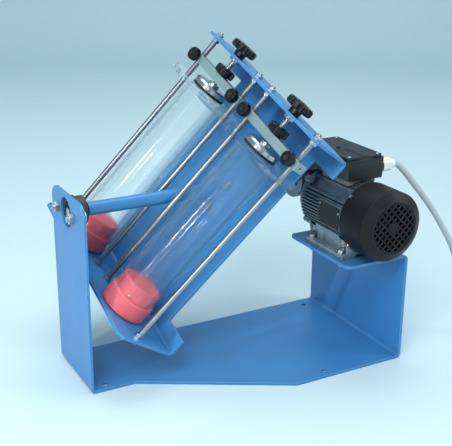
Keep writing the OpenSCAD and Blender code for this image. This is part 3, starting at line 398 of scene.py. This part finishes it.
def rods():
    """Guide rods with a threaded, chamfered stud at both ends."""
    bm = bmesh.new()
    low, top = ROD_LOW - STUD_OUT, ROD_TOP + STUD_OUT
    body_low, body_top = ROD_LOW + FLANGE_T + NUT_H, ROD_TOP - FLANGE_T - NUT_H
    for p in ROD_P:
        rod = bmesh.new()
        lathe(rod, [(0, low), (2.2, low), (STUD_R, low + 0.8), (STUD_R, body_low), (3.6, body_low),
                    (ROD_R, body_low + 0.4), (ROD_R, body_top - 0.4), (3.6, body_top), (STUD_R, body_top),
                    (STUD_R, top - 0.8), (2.2, top), (0, top)], 40)
        for z0, z1 in ((low + 1.0, low + 1.0 + STUD_THREAD), (top - 1.0 - STUD_THREAD, top - 1.0)):
            z = z0
            while z < z1:
                ridge = bmesh.new()
                lathe(ridge, [(2.55, z), (2.99, z + 0.32), (2.99, z + 0.62), (2.55, z + 0.94)], 32)
                join(rod, ridge)
                z += 1.0
        place(rod, at(0, p, 0), T, N)
        join(bm, rod)
    ob = new_obj("rods_polished", bm, "rod_steel", "carrier", smooth=40)
    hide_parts("guide_rods")


def spindles():
    """Spindles with a real helix."""
    for i, s in SIDES:
        bm = bmesh.new()
        thread(bm, SPINDLE_R, SPINDLE_LENGTH, SPINDLE_PITCH, SPINDLE_DEPTH, 24)
        place(bm, at(0, s * TUBE_MID, SPINDLE_LOW), T, N)
        ob = new_obj("spindle_thread_%d" % i, bm, "stainless", "screw_%d" % i, smooth=50)
        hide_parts("spindle_%d" % i)


# ---------------------------------------------------------------- knobs
STAR_TOP = 226.25
THUMB_FACE, THUMB_T = -19.85, 166


def disc_cap(name, origin, axis, r, h, body):
    """Dished cover disc of radius r and height h."""
    dish = 0.3
    bm = bmesh.new()
    lathe(bm, [(0, h - dish), (r * 0.55, h - dish), (r * 0.7, h), (r - 0.4, h), (r, h - 0.4), (r, 0), (0, 0)], 40)
    place(bm, origin, axis)
    new_obj(name, bm, "knob_black", body, smooth=35)


def knob_caps():
    """Round cover discs let into the star knobs and the thumb screws."""
    for i, s in SIDES:
        disc_cap("star_cap_%d" % i, at(0, s * TUBE_MID, STAR_TOP), T, 8.2, 0.6, "screw_%d" % i)
    for k, p in enumerate(ROD_P, 1):
        disc_cap("thumb_cap_%d" % k, at(THUMB_FACE, p, THUMB_T), -N, 4.2, 0.5, "thumb_%d" % k)


# ---------------------------------------------------------------- motor plate and small screws
MOTOR_X = 167.0
PLATE_X = MOTOR_X - 47.05
PLATE_Y, PLATE_Z = (-148, -96), (205, 238)
PLATE_T = 0.8
PAD_T, PAD_RIM = 8, 2


def nameplate():
    """Bare plate on a cast pad, riveted to the motor's side."""
    (y0, y1), (z0, z1) = PLATE_Y, PLATE_Z
    bm = bmesh.new()
    pts = round_corners(y0, y1, z0, z1, 2.5)
    back = [bm.verts.new((PLATE_X * MM, p[0] * MM, p[1] * MM)) for p in pts]
    front = [bm.verts.new(((PLATE_X - PLATE_T) * MM, p[0] * MM, p[1] * MM)) for p in pts]
    n = len(pts)
    for i in range(n):
        bm.faces.new((back[i], back[(i + 1) % n], front[(i + 1) % n], front[i]))
    bm.faces.new(front)
    bm.faces.new(back[::-1])
    bmesh.ops.recalc_face_normals(bm, faces=bm.faces)
    new_obj("motor_plate", bm, "plate_dark", "frame", smooth=20)
    pad = cube((PAD_T, y1 - y0 + PAD_RIM, z1 - z0 + PAD_RIM))
    bmesh.ops.bevel(pad, geom=pad.edges[:], offset=0.9 * MM, segments=2, affect="EDGES")
    shift(pad, ((PLATE_X + 3.9) * MM, (y0 + y1) / 2 * MM, (z0 + z1) / 2 * MM))
    new_obj("motor_plate_pad", pad, "motor_paint", "frame", smooth=35)
    for k, y, z in ((1, y0 + 4, z1 - 9), (2, y1 - 4, z1 - 5)):
        rivet = bmesh.new()
        lathe(rivet, [(0, 0.9), (0.8, 0.8), (1.5, 0.4), (1.8, 0), (0, 0)], 20)
        place(rivet, Vector(((PLATE_X - PLATE_T) * MM, y * MM, z * MM)), (-1, 0, 0))
        new_obj("plate_rivet_%d" % k, rivet, "zinc", "frame", smooth=40)


def pan_screw(bm, origin, axis, r, h):
    """Pan head with a cross recess, drawn as a thin black cross laid on the head as painted shade; the cross takes
    the second material.
    """
    head = bmesh.new()
    lathe(head, [(0, h), (r * 0.5, h), (r * 0.85, h * 0.75), (r, h * 0.35), (r, 0), (0, 0)], 28)
    place(head, origin, axis)
    join(bm, head)
    for turn in (0, 90):
        recess_shade_bar = cube((r * 1.1, r * 0.28, 0.06))
        bmesh.ops.rotate(recess_shade_bar, matrix=Matrix.Rotation(math.radians(turn), 3, "Z"), verts=recess_shade_bar.verts)
        shift(recess_shade_bar, (0, 0, (h + 0.01) * MM))
        for f in recess_shade_bar.faces:
            f.material_index = 1
        place(recess_shade_bar, origin, axis)
        join(bm, recess_shade_bar)


BOX_LID_TOP = 303.0
BOX_MID_Y, BOX_SCREW_DX, BOX_SCREW_DY = -80.5, 24, 49.5


def head_marks():
    """Cross-recessed heads for the terminal box lid's four screws."""
    bm = bmesh.new()
    for sx in (1, -1):
        for sy in (1, -1):
            place_mm = Vector((MOTOR_X + sx * BOX_SCREW_DX, BOX_MID_Y + sy * BOX_SCREW_DY, BOX_LID_TOP))
            pan_screw(bm, place_mm * MM, (0, 0, 1), 2.5, 1.45)
    ob = new_obj("lid_screw_heads", bm, "zinc", "frame", smooth=40)
    # second material: black, the painted shade of the cross recesses
    ob.data.materials.append(MATS["black_rubber"])
    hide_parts("lid_screws")


# ---------------------------------------------------------------- shaft, bearing, gearbox, gland
TUBE_END_N = 58.5                   # the back plate's face that the shaft tube is welded to
WELD_SINK = 0.05
SHAFT_TUBE_R = 9.5


def weld_bead():
    """Rippled weld bead between the shaft tube and the carrier's back plate."""
    bm = bmesh.new()
    seg, arc = 72, 8
    leg = 3.0
    rings = []
    hub_x = CARRIER_X + TUBE_END_N * MM / math.cos(TILT)
    for k in range(seg):
        a = 2 * math.pi * k / seg
        base = Vector((hub_x, SHAFT_TUBE_R * math.cos(a) * MM, AXIS_Z + SHAFT_TUBE_R * math.sin(a) * MM))
        base.x -= ((base - O).dot(N) / MM - TUBE_END_N) / N.x * MM
        reach = leg + 0.25 * math.sin(a * 24) + 0.12 * math.sin(a * 57)
        out = Vector((0, math.cos(a), math.sin(a)))
        ring = []
        for j in range(arc + 1):
            b = math.pi / 2 * j / arc
            v = base + out * (reach * MM * math.cos(b)) - Vector((1, 0, 0)) * (reach * MM * math.sin(b)) * 0.9
            past = (v - O).dot(N) / MM - (TUBE_END_N - WELD_SINK)
            if past > 0:
                v = v - N * (past * MM)
            ring.append(bm.verts.new(v))
        rings.append(ring)
    for k in range(seg):
        a, b = rings[k], rings[(k + 1) % seg]
        for j in range(arc):
            bm.faces.new((a[j], b[j], b[j + 1], a[j + 1]))
    bmesh.ops.recalc_face_normals(bm, faces=bm.faces)
    new_obj("shaft_weld", bm, "blue_paint", "carrier", smooth=60)


BEARING_X = -220 + 4 + 10 - 1       # middle of the rings
SHIELD_OFF = 6.05


def bearing_bits():
    """Shields between the bearing's rings, one on each side."""
    for k, s in ((1, -1), (2, 1)):
        bm = bmesh.new()
        lathe(bm, [(9.9, 0), (10.2, 0.25), (13.1, 0.25), (13.4, 0), (13.4, -0.3), (9.9, -0.3)], 56, closed=True)
        place(bm, Vector(((BEARING_X + s * SHIELD_OFF) * MM, 0, AXIS_Z)), (s, 0, 0))
        new_obj("bearing_shield_%d" % k, bm, "black_rubber", "frame", smooth=35)


GEARBOX_HALF = 29.3


def oil_plugs():
    """Hexagon plugs on the gearbox: filler on top, drain underneath."""
    bm = bmesh.new()
    for dx, s in ((14, 1), (18, -1)):
        plug = bmesh.new()
        lathe(plug, [(0, 4.6), (3.6, 4.6), (4.3, 4.0), (4.3, 1.4), (5.6, 1.3), (5.6, 0), (0, 0)], 6)
        place(plug, Vector((MOTOR_X + dx, 0, AXIS_Z / MM + s * GEARBOX_HALF)) * MM, (0, 0, s))
        join(bm, plug)
    new_obj("oil_plugs", bm, "zinc", "frame", smooth=20)


GLAND_NUT = (MOTOR_X + 44.0, -128, 284.5)
GLAND_RIB_R, GLAND_RIBS = 8.75, 18


def gland_ribs():
    """Grip ribs round the gland nut."""
    bm = bmesh.new()
    for k in range(GLAND_RIBS):
        rib = cube((6.6, 1.3, 0.9))
        bmesh.ops.bevel(rib, geom=rib.edges[:], offset=0.25 * MM, segments=2, affect="EDGES")
        shift(rib, (0, 0, GLAND_RIB_R * MM))
        bmesh.ops.rotate(rib, matrix=Matrix.Rotation(2 * math.pi * k / GLAND_RIBS, 3, "X"), verts=rib.verts)
        shift(rib, [v * MM for v in GLAND_NUT])
        join(bm, rib)
    new_obj("gland_ribs", bm, "gland_white", "frame", smooth=35)


# ---------------------------------------------------------------- glass tubes
TUBE_LOW, TUBE_TOP = -120.0, 136.0
TUBE_R_OUT, TUBE_R_IN = 33.0, 30.0


def glass_tubes():
    """Glass tubes with rounded, fire-polished rims."""
    mid, rim = (TUBE_R_OUT + TUBE_R_IN) / 2, (TUBE_R_OUT - TUBE_R_IN) / 2
    low, top = TUBE_LOW + rim, TUBE_TOP - rim
    arc = [math.pi * k / 8 for k in range(1, 8)]
    prof = [(TUBE_R_OUT, low), (TUBE_R_OUT, top)]
    prof += [(mid + rim * math.cos(a), top + rim * math.sin(a)) for a in arc]
    prof += [(TUBE_R_IN, top), (TUBE_R_IN, low)]
    prof += [(mid - rim * math.cos(a), low - rim * math.sin(a)) for a in arc]
    for i, s in SIDES:
        bm = bmesh.new()
        lathe(bm, prof, 128, closed=True)
        place(bm, at(0, s * TUBE_MID, 0), T, N)
        ob = new_obj("tube_wall_%d" % i, bm, "tube_glass", "carrier", smooth=60)
        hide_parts("glass_tube_%d" % i)


rods()
spindles()
knob_caps()
nameplate()
weld_bead()
bearing_bits()
head_marks()
oil_plugs()
gland_ribs()
glass_tubes()

# ---------------------------------------------------------------- mains lead
LEAD_D = 9
ROUTE = [(215, -128, 284.5), (223, -128, 284.5), (232, -128, 280), (241, -128, 271.5), (250, -128.5, 262),
         (260, -129, 250.5), (278, -131, 229.5), (296, -134, 206), (313, -138, 180), (328, -142, 154),
         (340, -146, 126), (348, -150, 97), (354, -154, 69), (360, -158, 43), (368, -162, 23), (380, -165, 9.5),
         (394, -167, 5)]
COIL_X, COIL_Y = 404.0, -226.0
COIL_R_OUT, COIL_R_IN = 59.4, 41.0
COIL_PITCH_LOW, COIL_PITCH_TOP = 9.2, 9.4
LAYER_LOW, LAYER_TOP, LAYER_RISE = 4.7, 14.0, 9.3
TURN_STEPS, RISE_STEPS = 16, 5
TAIL = [(COIL_X + 59.0, COIL_Y - 4, 14.3), (COIL_X + 59.0, COIL_Y - 20, 16), (COIL_X + 59.0, COIL_Y - 38, 18)]


def coil_points():
    """Two turns inwards on the bench, a step up, and nearly two turns outwards on top of them."""
    pts = []
    n_low, n_top = 2 * TURN_STEPS, 2 * TURN_STEPS - 1
    for k in range(n_low + RISE_STEPS + n_top + 1):
        ang = math.radians(90) - 2 * math.pi * k / TURN_STEPS
        if k <= n_low:
            r, z = COIL_R_OUT - COIL_PITCH_LOW * k / TURN_STEPS, LAYER_LOW
        elif k <= n_low + RISE_STEPS:
            r, z = COIL_R_IN, LAYER_LOW + LAYER_RISE * (k - n_low) / RISE_STEPS
        else:
            r, z = COIL_R_IN + COIL_PITCH_TOP * (k - n_low - RISE_STEPS) / TURN_STEPS, LAYER_TOP
        pts.append((COIL_X + r * math.cos(ang), COIL_Y + r * math.sin(ang), z))
    return pts


def lead():
    """The lead's jacket, from the gland through the coil to the plug."""
    pts = ROUTE + coil_points() + TAIL
    cu = bpy.data.curves.new("mains_lead_jacket", "CURVE")
    cu.dimensions = "3D"
    cu.bevel_depth = LEAD_D / 2 * MM
    cu.bevel_resolution = 5
    cu.use_fill_caps = True
    cu.resolution_u = 6
    sp = cu.splines.new("BEZIER")
    sp.bezier_points.add(len(pts) - 1)
    for bp, p in zip(sp.bezier_points, pts):
        bp.co = Vector(p) * MM
        bp.handle_left_type = bp.handle_right_type = "AUTO"
    ob = bpy.data.objects.new("mains_lead_jacket", cu)
    bpy.context.scene.collection.objects.link(ob)
    cu.materials.append(MATS["lead_grey"])
    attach(ob, "frame")
    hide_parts("mains_lead", "lead_coil")
    return ob, Vector(pts[0]) * MM


TIE_ANGLE = math.radians(200)
TIE_R, TIE_Z = 50, 9.3              # middle of the strap's loop, from the coil's middle and the bench
TIE_HALF_W, TIE_T = 4.0, 0.9
TIE_HALF_X, TIE_HALF_Z, TIE_ROUND = 14.6, 9.25, 4.0


def coil_tie():
    """Strap round the coiled lead."""
    bm = bmesh.new()
    c = Vector((COIL_X + TIE_R * math.cos(TIE_ANGLE), COIL_Y + TIE_R * math.sin(TIE_ANGLE), TIE_Z)) * MM
    rad = Vector((math.cos(TIE_ANGLE), math.sin(TIE_ANGLE), 0))
    tan = Vector((-rad.y, rad.x, 0))
    rows = []
    for x, z, nx, nz in round_corners(-TIE_HALF_X, TIE_HALF_X, -TIE_HALF_Z, TIE_HALF_Z, TIE_ROUND):
        row = []
        for off, side in ((0, -1), (0, 1), (-TIE_T, 1), (-TIE_T, -1)):
            up = Vector((0, 0, (z + nz * off) * MM))
            row.append(bm.verts.new(c + rad * ((x + nx * off) * MM) + up + tan * (side * TIE_HALF_W * MM)))
        rows.append(row)
    for i in range(len(rows)):
        a, b = rows[i], rows[(i + 1) % len(rows)]
        for j in range(4):
            bm.faces.new((a[j], a[(j + 1) % 4], b[(j + 1) % 4], b[j]))
    bmesh.ops.recalc_face_normals(bm, faces=bm.faces)
    new_obj("lead_tie", bm, "black_rubber", "frame", smooth=40)


lead_ob, lead_exit = lead()
coil_tie()

# ---------------------------------------------------------------- floor
FLOOR_HALF_W, FLOOR_FRONT, FLOOR_BACK = 6.0, -5.0, 3.2
WALL_TOP, COVE_R = 3.4, 0.8


def floor_mat():
    b = new_material("floor_pale")[1]
    b.inputs["Base Color"].default_value = lin("#c6dbe2")
    b.inputs["Roughness"].default_value = 0.9
    b.inputs["Specular IOR Level"].default_value = 0.1


def stage():
    """Plain floor that curves up into a wall behind the instrument, square to the camera."""
    bm = bmesh.new()
    prof = [(FLOOR_FRONT, 0.0), (FLOOR_BACK - COVE_R, 0.0)]
    for i in range(1, 12):
        a = math.radians(90 * i / 12)
        prof.append((FLOOR_BACK - COVE_R + COVE_R * math.sin(a), COVE_R - COVE_R * math.cos(a)))
    prof += [(FLOOR_BACK, COVE_R), (FLOOR_BACK, WALL_TOP)]
    fwd = Vector((math.sin(CAM_YAW), math.cos(CAM_YAW), 0))
    side = Vector((fwd.y, -fwd.x, 0))
    rows = [[bm.verts.new(fwd * d + side * s + Vector((0, 0, h))) for s in (-FLOOR_HALF_W, FLOOR_HALF_W)]
            for d, h in prof]
    for a, b in zip(rows, rows[1:]):
        bm.faces.new((a[0], a[1], b[1], b[0]))
    bmesh.ops.recalc_face_normals(bm, faces=bm.faces)
    ob = new_obj("studio_floor", bm, "floor_pale", None, smooth=60)


# ---------------------------------------------------------------- light
MACHINE = (0, 0, 0.2)
WHITE = (1.0, 1.0, 1.0)
SKY_LOW, SKY_HIGH = "#2f3a40", "#c3dde6"
SKY_BANDS = ((0.44, "#56666e"), (0.50, "#8fa6b0"), (0.60, "#bcd6df"), (0.78, "#a9c4ce"))
SKY_STRENGTH = 0.75


def area(name, loc, target, size, power, colour, along=None):
    """Rectangular lamp aimed at target; its long side lies near the direction along."""
    li = bpy.data.lights.new(name, "AREA")
    li.shape = "RECTANGLE"
    li.size, li.size_y = size
    li.energy = power
    li.color = colour
    ob = bpy.data.objects.new(name, li)
    bpy.context.scene.collection.objects.link(ob)
    ob.location = loc
    aim = Vector(target) - Vector(loc)
    if along is None:
        ob.rotation_euler = aim.to_track_quat("-Z", "Y").to_euler()
    else:
        back = -aim.normalized()
        across = Vector(along).cross(back).normalized()
        upright = (Vector(along) - back * back.dot(along)).normalized()
        ob.rotation_euler = Matrix((across, upright, back)).transposed().to_euler()


def studio_world():
    """Soft surroundings that darken towards the ground."""
    world = bpy.data.worlds.new("studio")
    bpy.context.scene.world = world
    world.use_nodes = True
    nt = world.node_tree
    tex = node(nt, "ShaderNodeTexCoord")
    sep = node(nt, "ShaderNodeSeparateXYZ")
    nt.links.new(tex.outputs["Generated"], sep.inputs[0])
    height = map_range(nt, sep.outputs["Z"], -1.0, 1.0)
    sky = node(nt, "ShaderNodeValToRGB")
    els = sky.color_ramp.elements
    els[0].position, els[0].color = 0.0, lin(SKY_LOW)
    els[1].position, els[1].color = 1.0, lin(SKY_HIGH)
    for pos, colour in SKY_BANDS:
        els.new(pos).color = lin(colour)
    nt.links.new(height, sky.inputs["Fac"])
    nt.links.new(sky.outputs["Color"], nt.nodes["Background"].inputs["Color"])
    nt.nodes["Background"].inputs["Strength"].default_value = SKY_STRENGTH


floor_mat()
stage()
area("key", (-1.3, -1.5, 2.2), MACHINE, (1.2, 1.2), 45, (1.0, 0.99, 0.97))
area("fill", (1.9, -1.3, 1.3), MACHINE, (1.0, 1.4), 18, (0.95, 0.98, 1.0))
area("top", (0.2, 0.5, 2.6), MACHINE, (2.0, 1.4), 30, (0.97, 0.99, 1.0))
area("glint_left", (-1.24, -0.45, 0.62), (-0.09, 0.03, 0.29), (0.028, 0.28), 5, WHITE, T)
area("glint_front", (-1.32, -1.02, 0.42), (-0.05, 0, 0.27), (0.07, 0.14), 2.4, WHITE, T)
studio_world()
bpy.context.scene.view_settings.view_transform = "Standard"
bpy.context.scene.view_settings.look = "None"
